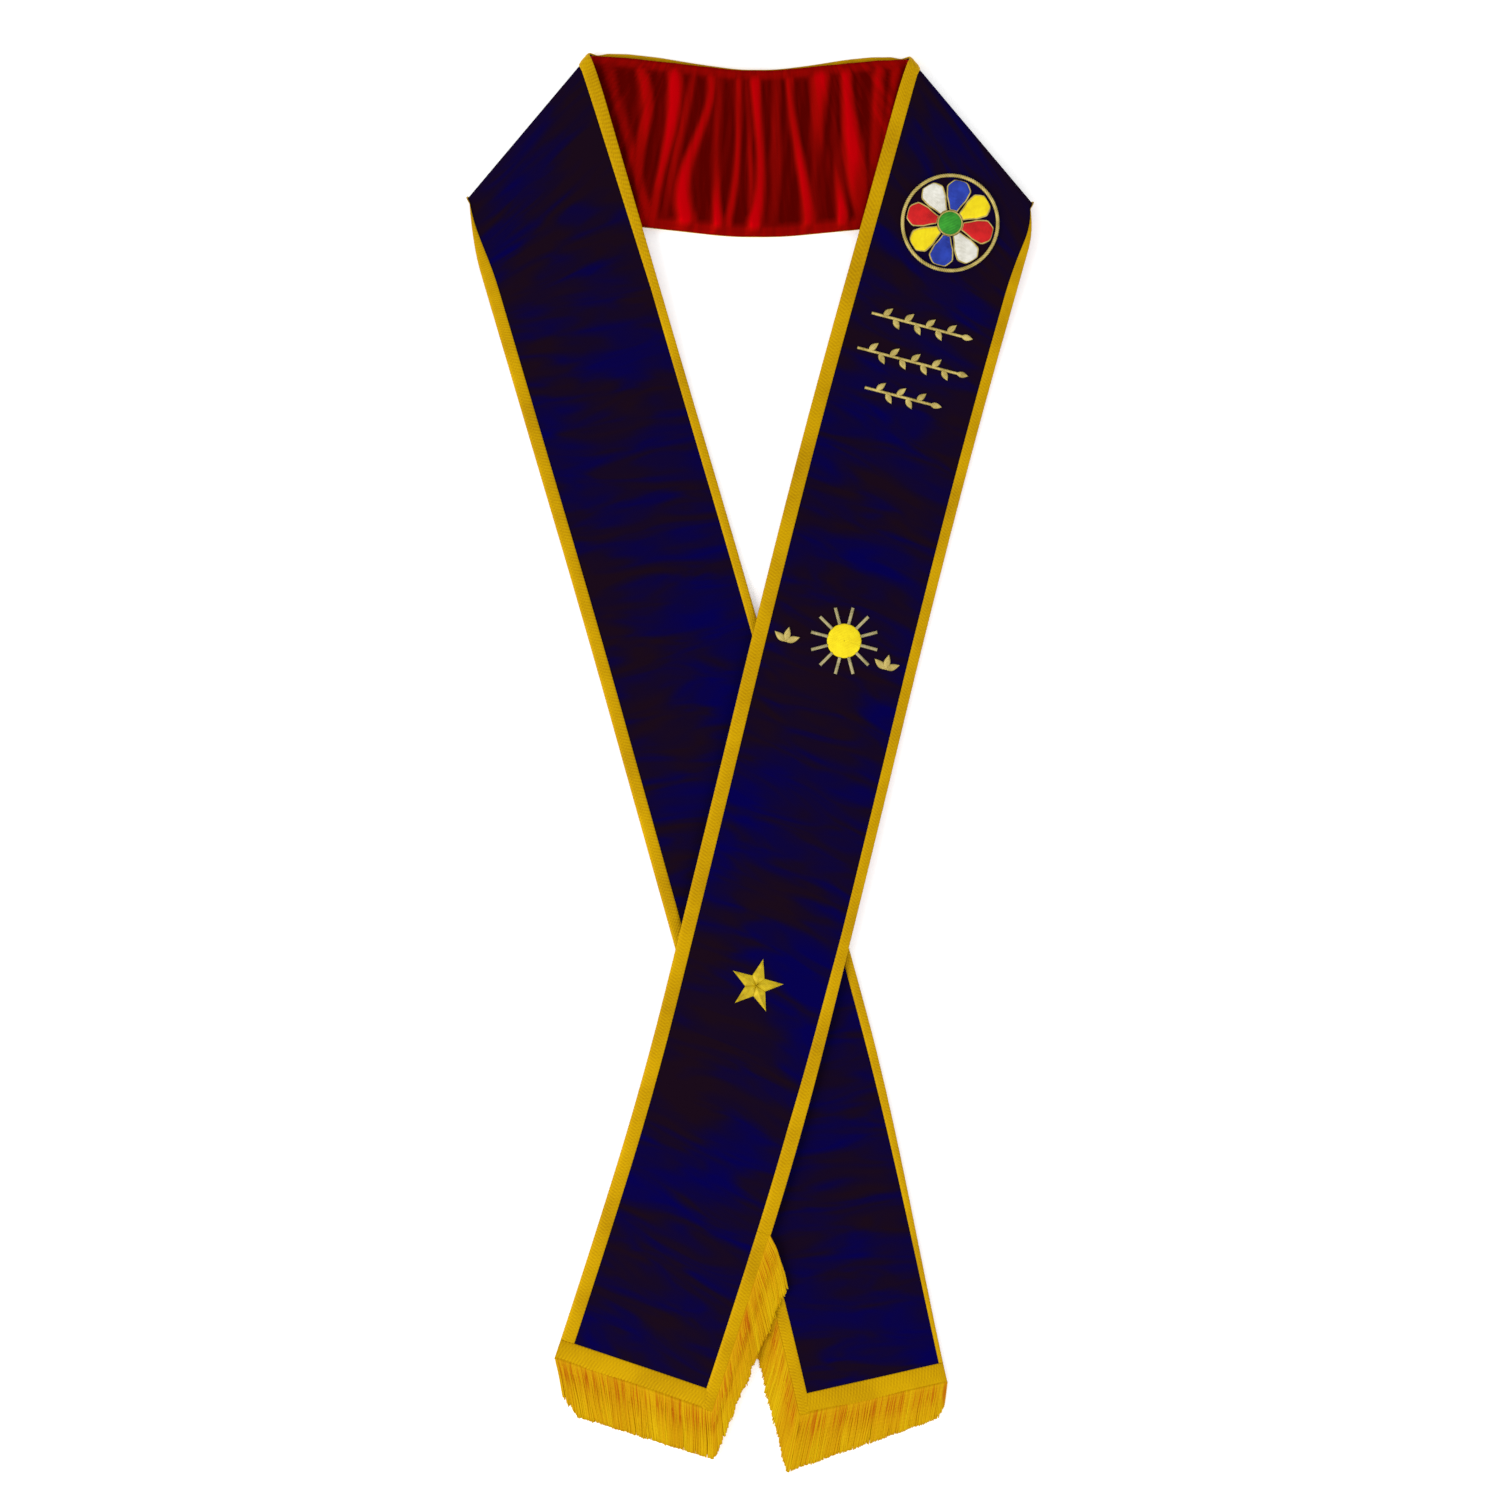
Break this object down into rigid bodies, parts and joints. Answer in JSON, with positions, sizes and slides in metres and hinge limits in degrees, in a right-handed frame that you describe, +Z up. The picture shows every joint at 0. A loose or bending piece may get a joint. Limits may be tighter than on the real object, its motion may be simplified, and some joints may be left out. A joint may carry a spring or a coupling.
{
  "type": "ceremonial sash",
  "caption": "Long velvet band with braided edges, satin lining and fringed ends, folded at both shoulders and laid flat with its two arms crossed.",
  "frame": {"origin": "middle of the footprint, on the surface that the sash lies on", "axes": "+Y along the sash from its fringed ends to its neck strip, +Z up from the surface, +X to the right seen from above with the neck at the top"},
  "size_m": [0.3406, 0.8518, 0.01],
  "materials": {
    "navy_velvet": "matt pile",
    "red_satin": "glossy satin",
    "gold_braid": "woven metallic thread",
    "gold_fringe": "twisted rayon thread",
    "gold_thread": "satin stitch",
    "yellow_thread": "satin stitch",
    "red_thread": "satin stitch",
    "blue_thread": "satin stitch",
    "white_thread": "satin stitch",
    "green_thread": "satin stitch"
  },
  "bodies": {
    "root": {"velvet_over_arm": "navy_velvet", "velvet_neck": "navy_velvet", "velvet_under_arm": "navy_velvet", "lining_over_arm": "red_satin", "lining_neck": "red_satin", "lining_under_arm": "red_satin", "neckward_braid_over_arm": "gold_braid", "neckward_braid_neck": "gold_braid", "neckward_braid_under_arm": "gold_braid", "shoulder_braid_over_arm": "gold_braid", "shoulder_braid_neck": "gold_braid", "shoulder_braid_under_arm": "gold_braid", "over_fringe": "gold_fringe", "under_fringe": "gold_fringe", "rosette_ring": "gold_thread", "rosette_eye": "green_thread", "rosette_petal_1_red": "red_thread", "rosette_petal_2_yellow": "yellow_thread", "rosette_petal_3_blue": "blue_thread", "rosette_petal_4_white": "white_thread", "rosette_petal_5_red": "red_thread", "rosette_petal_6_yellow": "yellow_thread", "rosette_petal_7_blue": "blue_thread", "rosette_petal_8_white": "white_thread", "sprig_row_1": "gold_thread", "sprig_row_2": "gold_thread", "sprig_row_3": "gold_thread", "sun_disc": "yellow_thread", "sun_ray_1": "gold_thread", "sun_ray_2": "gold_thread", "sun_ray_3": "gold_thread", "sun_ray_4": "gold_thread", "sun_ray_5": "gold_thread", "sun_ray_6": "gold_thread", "sun_ray_7": "gold_thread", "sun_ray_8": "gold_thread", "sun_ray_9": "gold_thread", "sun_ray_10": "gold_thread", "sun_ray_11": "gold_thread", "sun_ray_12": "gold_thread", "sun_sprig_left": "gold_thread", "sun_sprig_right": "gold_thread", "plain_star": "gold_thread"}
  },
  "joints": []
}
